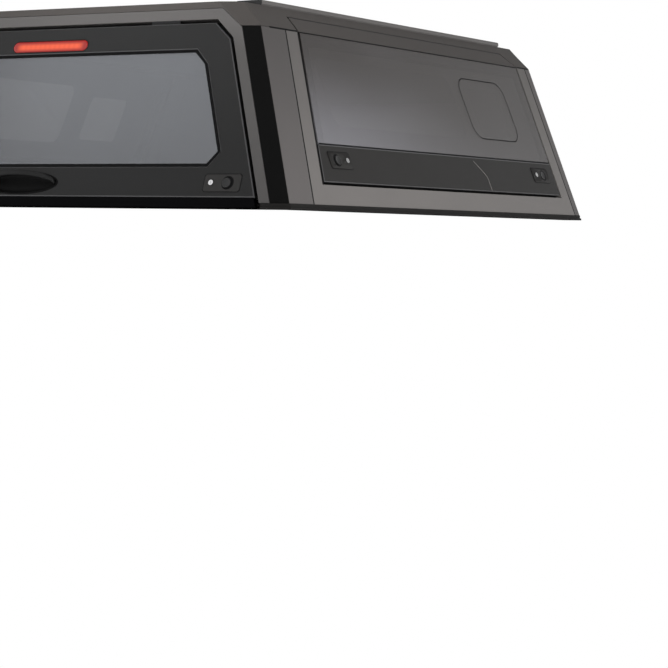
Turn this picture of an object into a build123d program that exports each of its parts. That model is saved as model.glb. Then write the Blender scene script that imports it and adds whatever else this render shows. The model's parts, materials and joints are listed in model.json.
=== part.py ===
"""Pickup truck canopy: a hard shell with a lift-up rear hatch and two lift-up side doors.

Millimetres. +X is the right-hand side seen from behind, +Y is forward to the cab and +Z is up.
The origin is the centre of the footprint, at the bottom of the seal that lies on the bed rails.
"""

import os
from math import atan2, cos, degrees, hypot, radians, sin, tan

from build123d import *

# Outer form
base_width = 1686.0  # over the foot of the side walls
base_length = 1719.0  # along a bed rail, rear foot to front foot
side_lean = 23.0  # degrees that a side wall leans inwards
rear_lean = 19.5  # degrees that the rear wall leans forward
front_lean = 2.3  # degrees that the front wall leans forward
side_top_z = 468.0  # where the flat side wall ends and the bevel starts
crease_z = 508.0  # hinge line of a side door
crease_inset = 44.0  # how far the bevel runs inwards up to the crease
rim_z = 533.0  # flat edge of the roof, under the rails
rim_inset = 26.0  # how far the roof's skirt runs inwards above the crease
roof_skin = 4.0
plateau_rise = 3.0  # pressed middle of the roof, above the rim
plateau_inset = 12.5  # rim to the edge of the pressed middle
plateau_bevel = 2.5
wall = 30.0  # depth of the box sections in the walls
seam = 0.5  # line between two fixed pieces

# Seal along the bed rails
seal_height = 15.0
seal_width = 46.0
seal_lip = 6.0  # height of the lip at the foot of the seal
seal_waist = 3.0  # how far the seal draws in above its lip

# Rear corners
corner_rear = 47.0  # width of the corner bevel, seen from behind
corner_side = 18.0  # width of the corner bevel, seen from the side
corner_spread = 0.18  # share by which the bevel widens from the side wall's top to the crease
strip_depth = 22.0
post_edge = 134.0  # rear plane to the front edge of the corner post

# Rear frame
frame_side = 31.5  # width of the frame's legs
frame_top = 30.6
frame_shoulder_z = 465.0
frame_top_z = 516.0
frame_cut = 49.0  # width of the frame's cut corner
opening_shoulder = 52.0  # height of the opening's cut corner
opening_cut = 59.0  # width of the opening's cut corner
opening_depth = 26.0  # outer skin to the flange that carries a seal
hatch_step = 16.0  # width of the flange that the hatch closes on
door_step = 18.0  # width of the flange that a side door closes on
strip_base = 2.0  # thickness of the seal's strip on a flange
bulb_width = 8.0  # width of the seal's bulb, at the flange's edge

# Rear hatch
hatch_gap = 9.0
hatch_depth = 20.0
hatch_bevel = 2.5
hatch_bottom = 31.0  # height of the lower edge, along the slope
hatch_glass_thickness = 5.0
hatch_glass_sill = 113.0
hatch_glass_head = 434.0
hatch_glass_side = 90.0  # edge of the opening to the glass
hatch_glass_cut = 41.0  # cut upper corners
hatch_glass_foot_cut = 31.0  # cut lower corners
glass_seal = 4.0
glass_sink = 2.0  # outer skin to the hatch's glass
hatch_hinge_from_corner = 160.0  # the opening's upper corner to the middle of a hinge
hatch_hinge_length = 90.0
hatch_hinge_leaf = 2.2
hatch_pin_radius = 1.6
hatch_pin_clearance = 0.3
hatch_axis_depth = 2.0
lip_low = 6.0  # lower edge of the seal under the hatch, along the slope
lip_inset = 14.0  # the opening's edge to the end of that seal
lip_sink = 2.0
lip_depth = 14.0

# Brake light
brake_v = 456.0  # height of its middle, along the slope
brake_width = 252.0
brake_height = 36.0
brake_depth = 12.0
brake_rim = 3.0
brake_proud = 2.0

# Hatch handle: an oval bowl with an arched grip over its upper half
handle_v = 68.5
handle_width = 250.0
handle_height = 59.0
bowl_depth = 14.0
bowl_skin = 2.0
grip_width = 15.0
grip_thickness = 11.0
grip_proud = 24.0  # at the middle of the grip
grip_end_proud = 5.0
grip_foot = 24.0  # length of each foot of the grip
grip_below = 4.0  # how far the grip reaches below the middle of the bowl

# Side doors
door_rear_edge = 196.0  # rear plane to the rear edge of the door's opening
door_front_edge = 86.0  # front plane to the front edge of the door's opening
door_sill_z = 67.0
door_gap = 8.0
door_depth = 20.0
door_panel_top_z = 171.0
door_panel_bevel = 2.0
door_glass_thickness = 5.0
door_bar = 40.0  # width of the door's inner frame
door_front_cut = 28.0  # how far the flange's front end runs back up to the crease
flange_thickness = 12.0
vent_width = 292.0
vent_height = 194.0
vent_sill = 62.0  # above the lower edge of the glass
vent_from_front = 246.0
vent_radius = 48.0
vent_seal = 3.0

# Locks
plate_width = 108.0
plate_height = 46.0
plate_corner = 5.0
plate_sink = 4.0
plate_proud = 1.5
plate_bevel = 1.0
plate_seat = 6.0  # width of the ledge under a plate
lock_room = 16.0  # outer skin to the back of the room for a button
button_shift = 12.5  # middle of the plate to the button
button_radius = 13.0
button_play = 0.4
button_depth = 9.0
button_proud = 3.0
button_travel = 4.0
key_from_button = 45.0
key_radius = 7.0
key_proud = 4.5
key_slot_width = 1.4
key_slot_length = 8.0
key_slot_depth = 1.5
hatch_lock_from_edge = 97.5  # the opening's edge to the middle of a lock plate
hatch_lock_v = 68.5
door_lock_s = 143.0
door_lock_from_rear = 300.0
door_lock_from_front = 187.0

# Side door hinges
pin_radius = 2.2
pin_clearance = 0.4
leaf = 2.0
leaf_width = 22.0

# Front wall
trim_width = 33.0
front_depth = 24.0
window_width = 900.0
window_height = 250.0
window_sill = 130.0
window_radius = 60.0
window_glass = 5.0
window_seal = 14.0

# Roof rails and the headers above the doors
rail_width = 26.0
rail_height = 14.0
rail_bevel = 3.0
rail_foot = 3.0  # height of the rail's foot, and how far it stands back
rail_clear = 1.5  # round a rail, to the pressed middle of the roof
rail_rear = 107.0  # rear plane at the rim to the rail's rear end
rail_front = 66.0  # front plane at the rim to the rail's front end
cap_length = 85.0
cap_tip_width = 18.0
cap_tip_height = 2.5
rack_hole_radius = 4.25
rack_pitch = 900.0
header_width = 30.0
header_inset = 40.0  # hinge line to the header
header_z = 470.0
header_skin = 3.0

half_base = base_width / 2
overall_length = base_length + rim_z * tan(radians(front_lean))
rear_foot_y = -overall_length / 2
front_foot_y = rear_foot_y + base_length
side_slope = cos(radians(side_lean))
rear_slope = cos(radians(rear_lean))
front_slope = cos(radians(front_lean))
hinge_gap = 2 * (pin_radius + pin_clearance)
bevel_rise = crease_z - side_top_z
bevel_width = hypot(crease_inset, bevel_rise)
bevel_lean = degrees(atan2(crease_inset, bevel_rise))
side_top = side_top_z / side_slope
spare = 60.0  # how far a blank runs past the planes that trim it


def side_x(z):
    """Half width of the outer skin at height z."""
    x = half_base - min(z, side_top_z) * tan(radians(side_lean))
    if z > side_top_z:
        x -= (min(z, crease_z) - side_top_z) * crease_inset / bevel_rise
    if z > crease_z:
        x -= (z - crease_z) * rim_inset / (rim_z - crease_z)
    return x


def rear_y(z):
    return rear_foot_y + z * tan(radians(rear_lean))


def front_y(z):
    return front_foot_y + z * tan(radians(front_lean))


# Planes on the outer skin, with the local Y axis up the slope on the rear and front walls
right_wall = Plane(
    origin=(half_base, 0, 0),
    x_dir=(0, 1, 0),
    z_dir=(cos(radians(side_lean)), 0, sin(radians(side_lean))),
)
right_bevel = Plane(
    origin=(side_x(side_top_z), 0, side_top_z),
    x_dir=(0, 1, 0),
    z_dir=(cos(radians(bevel_lean)), 0, sin(radians(bevel_lean))),
)
rear_wall = Plane(
    origin=(0, rear_foot_y, 0),
    x_dir=(1, 0, 0),
    z_dir=(0, -cos(radians(rear_lean)), sin(radians(rear_lean))),
)
front_wall = Plane(
    origin=(0, front_foot_y, 0),
    x_dir=(-1, 0, 0),
    z_dir=(0, cos(radians(front_lean)), -sin(radians(front_lean))),
)
foot = Plane.XY.offset(seal_height)
shoulder = Plane.XY.offset(side_top_z)


def behind(s, offset):
    """Y of a line on the side wall that keeps its distance from the rear plane."""
    return rear_foot_y + offset + s * side_slope * tan(radians(rear_lean))


def ahead(s, offset):
    """Y of a line on the side wall that keeps its distance from the front plane."""
    return front_foot_y - offset + s * side_slope * tan(radians(front_lean))


def side_panel(rear_offset, front_offset, low, high):
    """Corners of a panel on the side wall, between two heights along the slope."""
    return [
        (behind(low, rear_offset), low),
        (ahead(low, front_offset), low),
        (ahead(high, front_offset), high),
        (behind(high, rear_offset), high),
    ]


def rear_half(v):
    """Half width of the rear plane at a height along its slope."""
    return half_base - v * rear_slope * tan(radians(side_lean))


def both_sides(right_hand):
    """A right-hand outline from bottom to top, closed by its mirror image."""
    return right_hand + [(-x, y) for x, y in reversed(right_hand)]


def panel(plane, outline, hole=None):
    """A flat face on a plane, with or without a hole."""
    with BuildSketch(plane) as face:
        with BuildLine():
            Polyline(*outline, close=True)
        make_face()
        if hole:
            with BuildLine():
                Polyline(*hole, close=True)
            make_face(mode=Mode.SUBTRACT)
    return face.sketch


def outer_edges(builder, plane):
    """Edges of the face that lies furthest out along a plane's normal."""
    return builder.faces().sort_by(Axis(plane.origin, plane.z_dir))[-1].edges()


pieces = {}


def keep(name, builder):
    builder.part.label = name
    pieces[name] = builder.part


# Seal along the bed rails, with a lip at its foot
def seal_outline(inset):
    x, rear, front = side_x(0) - inset, rear_y(0) + inset, front_y(0) - inset
    right_hand = [(x - corner_rear, rear), (x, rear + corner_side), (x, front)]
    return both_sides(right_hand)


tailgate_half = rear_half(0) - corner_rear - frame_side
seal_inside = both_sides(
    [
        (tailgate_half, rear_y(0) - spare),
        (tailgate_half, rear_y(0) + seal_width),
        (side_x(0) - seal_width, rear_y(0) + seal_width + corner_side),
        (side_x(0) - seal_width, front_y(0) - seal_width),
    ]
)
with BuildPart() as base_seal:
    extrude(panel(Plane.XY, seal_outline(0), seal_inside), amount=seal_lip)
    extrude(panel(Plane.XY, seal_outline(seal_waist), seal_inside), amount=seal_height)
keep("base_seal", base_seal)

# Side walls around the doors
door_sill = door_sill_z / side_slope
door_hole = side_panel(door_rear_edge, door_front_edge, door_sill, side_top + spare)


def door_flange_hole(width):
    """The door's opening, drawn in by part of the flange's width."""
    rear_offset, front_offset = door_rear_edge + width, door_front_edge + width
    return side_panel(rear_offset, front_offset, door_sill + width, side_top + 2 * spare)


with BuildPart() as side_frames:
    extrude(
        panel(right_wall, side_panel(post_edge + seam, trim_width + seam, -spare, side_top + spare)),
        amount=-wall,
    )
    extrude(panel(right_wall, door_hole), amount=-opening_depth, mode=Mode.SUBTRACT)
    extrude(panel(right_wall, door_flange_hole(door_step)), amount=-wall - spare, mode=Mode.SUBTRACT)
    split(bisect_by=foot, keep=Keep.TOP)
    split(bisect_by=shoulder.offset(-seam), keep=Keep.BOTTOM)
    mirror(about=Plane.YZ)
keep("side_frames", side_frames)

# Corner posts and the black strips on the rear corners
with BuildPart() as rear_corner_posts:
    post_outline = [
        (behind(-spare, corner_side), -spare),
        (behind(-spare, post_edge), -spare),
        (behind(side_top + spare, post_edge), side_top + spare),
        (behind(side_top + spare, corner_side), side_top + spare),
    ]
    extrude(panel(right_wall, post_outline), amount=-wall)
    split(bisect_by=foot, keep=Keep.TOP)
    split(bisect_by=shoulder.offset(-seam), keep=Keep.BOTTOM)
    mirror(about=Plane.YZ)
keep("rear_corner_posts", rear_corner_posts)


def strip_section(z):
    x, y = side_x(z), rear_y(z)
    return [
        (x - corner_rear + seam, y),
        (x, y + corner_side - seam),
        (x - strip_depth, y + corner_side - seam),
        (x - corner_rear + seam, y + strip_depth / 2),
    ]


with BuildPart() as corner_strips:
    for strip_z in (seal_height, side_top_z - seam):
        with BuildSketch(Plane.XY.offset(strip_z)):
            with BuildLine():
                Polyline(*strip_section(strip_z), close=True)
            make_face()
    loft(ruled=True)
    mirror(about=Plane.YZ)
keep("corner_strips", corner_strips)

# Rear frame, an upside-down U with cut upper corners
frame_shoulder = frame_shoulder_z / rear_slope
frame_head = frame_top_z / rear_slope
frame_top_half = rear_half(frame_head) - corner_rear - frame_cut
opening_head = frame_head - frame_top
opening_low = opening_head - opening_shoulder
rear_side_lean = atan2(rear_half(0) - rear_half(frame_head), frame_head)


def opening_edge(v):
    return rear_half(v) - corner_rear - frame_side


def frame_outline(grow, low):
    return both_sides(
        [
            (rear_half(low) - corner_rear + grow, low),
            (rear_half(frame_shoulder) - corner_rear + grow, frame_shoulder),
            (frame_top_half + grow, frame_head + grow),
        ]
    )


def hatch_outline(inset, low):
    """The opening in the rear frame, drawn in by an inset."""
    side_inset = inset / cos(rear_side_lean)
    corner_inset = inset * tan(radians(side_lean))
    low_corner = opening_low - corner_inset
    return both_sides(
        [
            (opening_edge(low) - side_inset, low),
            (opening_edge(low_corner) - side_inset, low_corner),
            (opening_edge(opening_low) - opening_cut - corner_inset, opening_head - inset),
        ]
    )


with BuildPart() as rear_frame:
    extrude(panel(rear_wall, frame_outline(0, -spare)), amount=-wall)
    extrude(panel(rear_wall, hatch_outline(0, -2 * spare)), amount=-opening_depth, mode=Mode.SUBTRACT)
    extrude(panel(rear_wall, hatch_outline(hatch_step, -2 * spare)), amount=-wall, mode=Mode.SUBTRACT)
    split(bisect_by=foot, keep=Keep.TOP)
keep("rear_frame", rear_frame)

# Seals of the doors and the hatch: a strip on the floor of the gap, and a bulb on the flange's edge
door_flange_plane = right_wall.offset(-opening_depth)
hatch_flange_plane = rear_wall.offset(-opening_depth)
hatch_flange_hole = hatch_outline(hatch_step, -3 * spare)
with BuildPart() as opening_seals:
    extrude(panel(door_flange_plane, door_hole, door_flange_hole(door_step)), amount=strip_base)
    extrude(
        panel(door_flange_plane, door_flange_hole(door_step - bulb_width), door_flange_hole(door_step)),
        amount=opening_depth - door_depth - seam,
    )
    split(bisect_by=shoulder.offset(-seam), keep=Keep.BOTTOM)
    mirror(about=Plane.YZ)
    extrude(panel(hatch_flange_plane, hatch_outline(0, -2 * spare), hatch_flange_hole), amount=strip_base)
    extrude(
        panel(hatch_flange_plane, hatch_outline(hatch_step - bulb_width, -2 * spare), hatch_flange_hole),
        amount=opening_depth - hatch_depth - seam,
    )
    split(bisect_by=foot, keep=Keep.TOP)
keep("opening_seals", opening_seals)

# Roof rails, with holes for the feet of a rack, and the black caps on their rear ends
rail_x = side_x(rim_z) - rail_width / 2 - seam
rail_start = rear_y(rim_z) + rail_rear
rail_end = front_y(rim_z) - rail_front
rail_middle = (rail_start + rail_end) / 2


def rail_outline(plane, inset):
    """A rail seen from above: square behind and round in front."""
    with BuildSketch(plane) as face:
        round_end = rail_end - rail_width / 2
        with Locations((rail_x, (rail_start + round_end) / 2)):
            Rectangle(rail_width - 2 * inset, round_end - rail_start)
        with Locations((rail_x, round_end)):
            Circle(rail_width / 2 - inset)
    return face.sketch


with BuildPart() as roof_rails:
    extrude(rail_outline(Plane.XY.offset(rim_z + rail_foot), 0), amount=rail_height - rail_foot)
    chamfer(outer_edges(roof_rails, Plane.XY).sort_by(Axis.Y)[1:], length=rail_bevel)
    extrude(rail_outline(Plane.XY.offset(rim_z), rail_foot), amount=rail_foot)
    with BuildSketch(Plane.XY.offset(rim_z)):
        with Locations((rail_x, rail_middle - rack_pitch / 2), (rail_x, rail_middle + rack_pitch / 2)):
            Circle(rack_hole_radius)
    extrude(amount=rail_height, mode=Mode.SUBTRACT)
    mirror(about=Plane.YZ)
keep("roof_rails", roof_rails)

cap_plane = Plane(origin=(rail_x, rail_start - seam, rim_z), x_dir=(1, 0, 0), z_dir=(0, -1, 0))
with BuildPart() as rail_end_caps:
    with BuildSketch(cap_plane):
        Rectangle(rail_width, rail_height, align=(Align.CENTER, Align.MIN))
    with BuildSketch(cap_plane.offset(cap_length)):
        Rectangle(cap_tip_width, cap_tip_height, align=(Align.CENTER, Align.MIN))
    loft(ruled=True)
    mirror(about=Plane.YZ)
keep("rail_end_caps", rail_end_caps)


# Roof with its skirt, cut out above the side doors
def roof_section(z, inset):
    """Outline of the roof at a height: cut corners behind, square corners in front."""
    x, y = side_x(z) - inset, rear_y(z) + inset
    widen = 1 + max(0, z - side_top_z) * corner_spread / bevel_rise
    right_hand = [(x - corner_rear * widen, y), (x, y + corner_side * widen), (x, front_y(z) - inset)]
    return both_sides(right_hand)


def plateau(plane, inset):
    """The pressed middle of the roof, which stays clear of the rails and their caps."""
    low, high = rail_start - cap_length - rail_clear - inset, rail_end + rail_clear + inset
    with BuildSketch(plane) as face:
        with BuildLine():
            Polyline(*roof_section(rim_z, plateau_inset + inset), close=True)
        make_face()
        with Locations((-rail_x, (low + high) / 2), (rail_x, (low + high) / 2)):
            Rectangle(rail_width + 2 * (rail_clear + inset), high - low, mode=Mode.SUBTRACT)
    return face.sketch


def flange_outline(inset, high):
    """The part of the bevel that moves with a side door, up to a height along the bevel."""
    rear, front = behind(side_top, door_rear_edge + inset), ahead(side_top, door_front_edge + inset)
    front_run = door_front_cut / bevel_width
    return [
        (rear - spare * sin(radians(rear_lean)), -spare),
        (front + front_run * spare, -spare),
        (front - front_run * high, high),
        (rear + high * bevel_rise / bevel_width * tan(radians(rear_lean)), high),
    ]


with BuildPart() as roof_panel:
    for roof_z in (side_top_z, crease_z, rim_z):
        with BuildSketch(Plane.XY.offset(roof_z)):
            with BuildLine():
                Polyline(*roof_section(roof_z, 0), close=True)
            make_face()
    loft(ruled=True)
    extrude(plateau(Plane.XY.offset(rim_z), 0), amount=plateau_rise)
    chamfer(outer_edges(roof_panel, Plane.XY), length=plateau_bevel)
    for roof_z in (side_top_z - seam, crease_z, rim_z - roof_skin):
        with BuildSketch(Plane.XY.offset(roof_z)):
            with BuildLine():
                Polyline(*roof_section(roof_z, roof_skin), close=True)
            make_face()
    loft(ruled=True, mode=Mode.SUBTRACT)
    extrude(plateau(Plane.XY.offset(rim_z - roof_skin), roof_skin), amount=plateau_rise, mode=Mode.SUBTRACT)
    extrude(panel(rear_wall, frame_outline(seam, -spare)), amount=-wall - spare, mode=Mode.SUBTRACT)
    door_cut = extrude(
        panel(right_bevel, flange_outline(0, bevel_width + hinge_gap / 2)),
        amount=-wall,
        both=True,
        mode=Mode.SUBTRACT,
    )
    mirror(door_cut, about=Plane.YZ, mode=Mode.SUBTRACT)
keep("roof_panel", roof_panel)


# Front wall with a rounded window
def front_half(w):
    """Half width of the front panel, between the inner faces of the side walls."""
    return half_base - w * front_slope * tan(radians(side_lean)) - wall / side_slope - seam


front_top = side_top_z / front_slope + spare
window_place = (0, window_sill + window_height / 2)
with BuildPart() as front_panel:
    extrude(
        panel(front_wall, both_sides([(front_half(-spare), -spare), (front_half(front_top), front_top)])),
        amount=-front_depth,
    )
    with BuildSketch(front_wall):
        with Locations(window_place):
            RectangleRounded(window_width, window_height, window_radius)
    extrude(amount=-front_depth, mode=Mode.SUBTRACT)
    split(bisect_by=foot, keep=Keep.TOP)
    split(bisect_by=shoulder.offset(-seam), keep=Keep.BOTTOM)
keep("front_panel", front_panel)

pane_size = (window_width - 2 * window_seal, window_height - 2 * window_seal, window_radius - window_seal)
with BuildPart() as front_window_seal:
    with BuildSketch(front_wall):
        with Locations(window_place):
            RectangleRounded(window_width, window_height, window_radius)
            RectangleRounded(*pane_size, mode=Mode.SUBTRACT)
    extrude(amount=-front_depth)
keep("front_window_seal", front_window_seal)

with BuildPart() as front_window_glass:
    with BuildSketch(front_wall.offset(-front_depth / 2)):
        with Locations(window_place):
            RectangleRounded(*pane_size)
    extrude(amount=-window_glass)
keep("front_window_glass", front_window_glass)

with BuildPart() as front_corner_trims:
    trim_outline = [
        (ahead(-spare, trim_width), -spare),
        (ahead(-spare, -spare), -spare),
        (ahead(side_top + spare, -spare), side_top + spare),
        (ahead(side_top + spare, trim_width), side_top + spare),
    ]
    extrude(panel(right_wall, trim_outline), amount=-wall)
    split(bisect_by=foot, keep=Keep.TOP)
    split(bisect_by=shoulder.offset(-seam), keep=Keep.BOTTOM)
    split(bisect_by=front_wall, keep=Keep.BOTTOM)
    mirror(about=Plane.YZ)
keep("front_corner_trims", front_corner_trims)

# Headers under the roof, above the side doors
header_x = side_x(crease_z) - header_inset - header_width / 2
header_top = rim_z - roof_skin
header_start = rear_y(rim_z) + wall / rear_slope + seam
header_end = front_y(header_z) - front_depth / front_slope - seam
with BuildPart() as door_headers:
    with BuildSketch(Plane(origin=(0, header_start, 0), x_dir=(1, 0, 0), z_dir=(0, -1, 0))):
        with Locations((header_x, (header_z + header_top) / 2)):
            Rectangle(header_width, header_top - header_z)
            Rectangle(
                header_width - 2 * header_skin,
                header_top - header_z - 2 * header_skin,
                mode=Mode.SUBTRACT,
            )
    extrude(amount=header_start - header_end)
    mirror(about=Plane.YZ)
keep("door_headers", door_headers)

# Hinges: a long pin on a leaf for each side door, under the skirt of the roof, and two short ones
# for the hatch, in the gap above it
hinge_front = ahead(side_top, door_front_edge) - door_front_cut - door_gap
hinge_rear = behind(side_top, door_rear_edge) + bevel_rise * tan(radians(rear_lean)) + door_gap
hinge_section = Plane(
    origin=(side_x(crease_z), hinge_rear, crease_z),
    x_dir=(-sin(radians(bevel_lean)), 0, cos(radians(bevel_lean))),
    z_dir=(0, 1, 0),
)
hatch_top = opening_head - hatch_gap
hatch_axis_v = opening_head - hatch_gap / 2
hatch_hinge_at = opening_edge(opening_low) - opening_cut - hatch_hinge_from_corner
with BuildPart() as hinges:
    with BuildSketch(hinge_section):
        with Locations((0, -pin_radius)):
            Circle(pin_radius)
        with Locations((0, -roof_skin - seam - leaf)):
            Rectangle(leaf_width, leaf + roof_skin + seam - pin_radius, align=(Align.MIN, Align.MIN))
        with Locations((hinge_gap / 2 - seam, -roof_skin - seam)):
            Rectangle(leaf_width, roof_skin + spare, align=(Align.MIN, Align.MIN), mode=Mode.SUBTRACT)
    extrude(amount=hinge_front - hinge_rear)
    mirror(about=Plane.YZ)
    for hinge_x in (-hatch_hinge_at, hatch_hinge_at):
        hinge_origin = rear_wall.from_local_coords((hinge_x - hatch_hinge_length / 2, hatch_axis_v, 0))
        with BuildSketch(Plane(hinge_origin, x_dir=rear_wall.y_dir, z_dir=(1, 0, 0))):
            with Locations((0, -hatch_axis_depth)):
                Circle(hatch_pin_radius)
                Rectangle(hatch_gap / 2, hatch_hinge_leaf, align=(Align.MIN, Align.CENTER))
        extrude(amount=hatch_hinge_length)
keep("hinges", hinges)


# Lock plates, key barrels and push buttons. A lock is (across, up, side on which its button lies)
hatch_lock_x = opening_edge(hatch_lock_v) - hatch_lock_from_edge
hatch_locks = [(hatch_lock_x, hatch_lock_v, 1), (-hatch_lock_x, hatch_lock_v, -1)]
door_locks = [
    (behind(door_lock_s, door_lock_from_rear), door_lock_s, -1),
    (ahead(door_lock_s, door_lock_from_front), door_lock_s, 1),
]


def plate_faces(plane, locks, inset):
    """The outline of a lock plate with its cut corners, at each lock."""
    half_width, half_height = plate_width / 2 - inset, plate_height / 2 - inset
    right_hand = [
        (half_width - plate_corner, -half_height),
        (half_width, plate_corner - half_height),
        (half_width, half_height - plate_corner),
        (half_width - plate_corner, half_height),
    ]
    with BuildSketch(plane) as face:
        for across, up, _ in locks:
            with Locations((across, up)):
                Polygon(*both_sides(right_hand))
    return face.sketch


def round_faces(plane, locks, shift, radius):
    with BuildSketch(plane) as face:
        for across, up, way in locks:
            with Locations((across + way * shift, up)):
                Circle(radius)
    return face.sketch


def lock_plates(plane, locks):
    front = plane.offset(plate_proud)
    thickness = plate_sink + plate_proud
    with BuildPart() as plates:
        for lock in locks:
            extrude(plate_faces(front, [lock], 0), amount=-thickness)
        bevelled = plates.faces().filter_by(Axis(plane.origin, plane.z_dir))
        for face in bevelled.sort_by(Axis(plane.origin, plane.z_dir))[-len(locks):]:
            chamfer(face.edges(), length=plate_bevel)
        hole = round_faces(front, locks, button_shift, button_radius + button_play)
        extrude(hole, amount=-thickness, mode=Mode.SUBTRACT)
    return plates


def key_barrels(plane, locks):
    with BuildPart() as barrels:
        key_shift = button_shift - key_from_button
        extrude(
            round_faces(plane.offset(plate_proud), locks, key_shift, key_radius),
            amount=key_proud - plate_proud,
        )
        with BuildSketch(plane.offset(key_proud)) as slots:
            for across, up, way in locks:
                with Locations((across + way * key_shift, up)):
                    Rectangle(key_slot_width, key_slot_length)
        extrude(slots.sketch, amount=-key_slot_depth, mode=Mode.SUBTRACT)
    return barrels


def push_button(plane, lock):
    with BuildPart() as button:
        extrude(
            round_faces(plane.offset(button_proud), [lock], button_shift, button_radius),
            amount=-button_depth,
        )
    return button


keep("hatch_lock_plates", lock_plates(rear_wall, hatch_locks))
keep("hatch_key_barrels", key_barrels(rear_wall, hatch_locks))
keep("hatch_button_right", push_button(rear_wall, hatch_locks[0]))
keep("hatch_button_left", push_button(rear_wall, hatch_locks[1]))
keep("side_lock_plates_right", lock_plates(right_wall, door_locks))
keep("side_key_barrels_right", key_barrels(right_wall, door_locks))
keep("side_button_rear_right", push_button(right_wall, door_locks[0]))
keep("side_button_front_right", push_button(right_wall, door_locks[1]))


# Rear hatch
def glass_outline(inset):
    low, high = hatch_glass_sill + inset, hatch_glass_head - inset
    low_corner = hatch_glass_sill + hatch_glass_cut
    high_corner = hatch_glass_head - hatch_glass_cut
    slant = inset * tan(radians(side_lean))

    def edge(v):
        return opening_edge(v) - hatch_glass_side

    return both_sides(
        [
            (edge(low_corner) - hatch_glass_foot_cut - slant, low),
            (edge(low_corner) - inset / side_slope, low_corner),
            (edge(high_corner) - inset / side_slope, high_corner),
            (edge(high_corner) - hatch_glass_cut - slant, high),
        ]
    )


handle_place = (0, handle_v)
bowl_radii = (handle_width / 2, handle_height / 2)
bowl_inner_radii = (handle_width / 2 - bowl_skin, handle_height / 2 - bowl_skin)
with BuildPart() as hatch_frame:
    extrude(
        panel(rear_wall, hatch_outline(hatch_gap, hatch_bottom), glass_outline(0)),
        amount=-hatch_depth,
    )
    chamfer(outer_edges(hatch_frame, rear_wall), length=hatch_bevel)
    with BuildSketch(rear_wall):
        with Locations((0, brake_v)):
            SlotOverall(brake_width, brake_height)
    extrude(amount=-brake_depth, mode=Mode.SUBTRACT)
    with BuildSketch(rear_wall):
        with Locations(handle_place):
            Ellipse(*bowl_radii)
    extrude(amount=-bowl_depth, mode=Mode.SUBTRACT)
    extrude(plate_faces(rear_wall, hatch_locks, 0), amount=-plate_sink, mode=Mode.SUBTRACT)
    extrude(plate_faces(rear_wall, hatch_locks, plate_seat), amount=-lock_room, mode=Mode.SUBTRACT)
    with BuildSketch(rear_wall.offset(-hatch_axis_depth)):
        with Locations((-hatch_hinge_at, hatch_top - hatch_bevel), (hatch_hinge_at, hatch_top - hatch_bevel)):
            Rectangle(
                hatch_hinge_length,
                hatch_bevel + hatch_gap / 2 - hatch_pin_radius - hatch_pin_clearance,
                align=(Align.CENTER, Align.MIN),
            )
    extrude(amount=-hatch_hinge_leaf)
keep("hatch_frame", hatch_frame)

with BuildPart() as hatch_glass_seal:
    extrude(
        panel(rear_wall.offset(-glass_sink / 2), glass_outline(0), glass_outline(glass_seal)),
        amount=-glass_sink - hatch_glass_thickness,
    )
keep("hatch_glass_seal", hatch_glass_seal)

with BuildPart() as hatch_glass:
    extrude(panel(rear_wall.offset(-glass_sink), glass_outline(glass_seal)), amount=-hatch_glass_thickness)
keep("hatch_glass", hatch_glass)

with BuildPart() as brake_light_housing:
    with BuildSketch(rear_wall):
        with Locations((0, brake_v)):
            SlotOverall(brake_width, brake_height)
    extrude(amount=-brake_depth)
    with BuildSketch(rear_wall):
        with Locations((0, brake_v)):
            SlotOverall(brake_width - 2 * brake_rim, brake_height - 2 * brake_rim)
    extrude(amount=-brake_depth / 2, mode=Mode.SUBTRACT)
keep("brake_light_housing", brake_light_housing)

with BuildPart() as brake_light_lens:
    with BuildSketch(rear_wall.offset(-brake_depth / 2)):
        with Locations((0, brake_v)):
            SlotOverall(brake_width - 2 * brake_rim, brake_height - 2 * brake_rim)
    extrude(amount=brake_depth / 2 + brake_proud)
keep("brake_light_lens", brake_light_lens)

# The grip is cut from an arch that is seen from behind, by a bow that is seen from above
grip_plane = Plane(
    origin=rear_wall.from_local_coords((0, handle_v, 0)),
    x_dir=(1, 0, 0),
    z_dir=rear_wall.y_dir,
)
foot_x = handle_width / 2 - grip_foot
with BuildPart() as hatch_handle:
    with BuildSketch(rear_wall.offset(-bowl_depth)):
        with Locations(handle_place):
            Ellipse(*bowl_radii)
            Ellipse(handle_width / 2 - grip_width, handle_height / 2 - grip_width, mode=Mode.SUBTRACT)
        with Locations((0, handle_v - grip_below)):
            Rectangle(handle_width, handle_height, align=(Align.CENTER, Align.MAX), mode=Mode.SUBTRACT)
    extrude(amount=bowl_depth + grip_proud)
    with BuildSketch(grip_plane):
        with BuildLine():
            bow = ThreePointArc(
                (-handle_width / 2, -grip_end_proud), (0, -grip_proud), (handle_width / 2, -grip_end_proud)
            )
            inner_bow = ThreePointArc(
                (foot_x, bowl_skin), (0, grip_thickness - grip_proud), (-foot_x, bowl_skin)
            )
            Polyline(bow @ 1, (handle_width / 2, bowl_skin), inner_bow @ 0)
            Polyline(inner_bow @ 1, (-handle_width / 2, bowl_skin), bow @ 0)
        make_face()
    extrude(amount=handle_height, both=True, mode=Mode.INTERSECT)
    with BuildSketch(rear_wall.offset(-bowl_depth)):
        with Locations(handle_place):
            Ellipse(*bowl_radii)
    extrude(amount=bowl_skin)
    with BuildSketch(rear_wall.offset(-bowl_depth)):
        with Locations(handle_place):
            Ellipse(*bowl_radii)
            Ellipse(*bowl_inner_radii, mode=Mode.SUBTRACT)
    extrude(amount=bowl_depth)
keep("hatch_handle", hatch_handle)

# Room for the fingers that pull the hatch open, in the bowl
room_middle = rear_wall.from_local_coords((0, handle_v - handle_height / 20, 0))
room_half = Vector(handle_width / 6, bowl_depth / 2, handle_height / 7)
finger_room = [tuple(room_middle - room_half), tuple(room_middle + room_half)]

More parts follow.
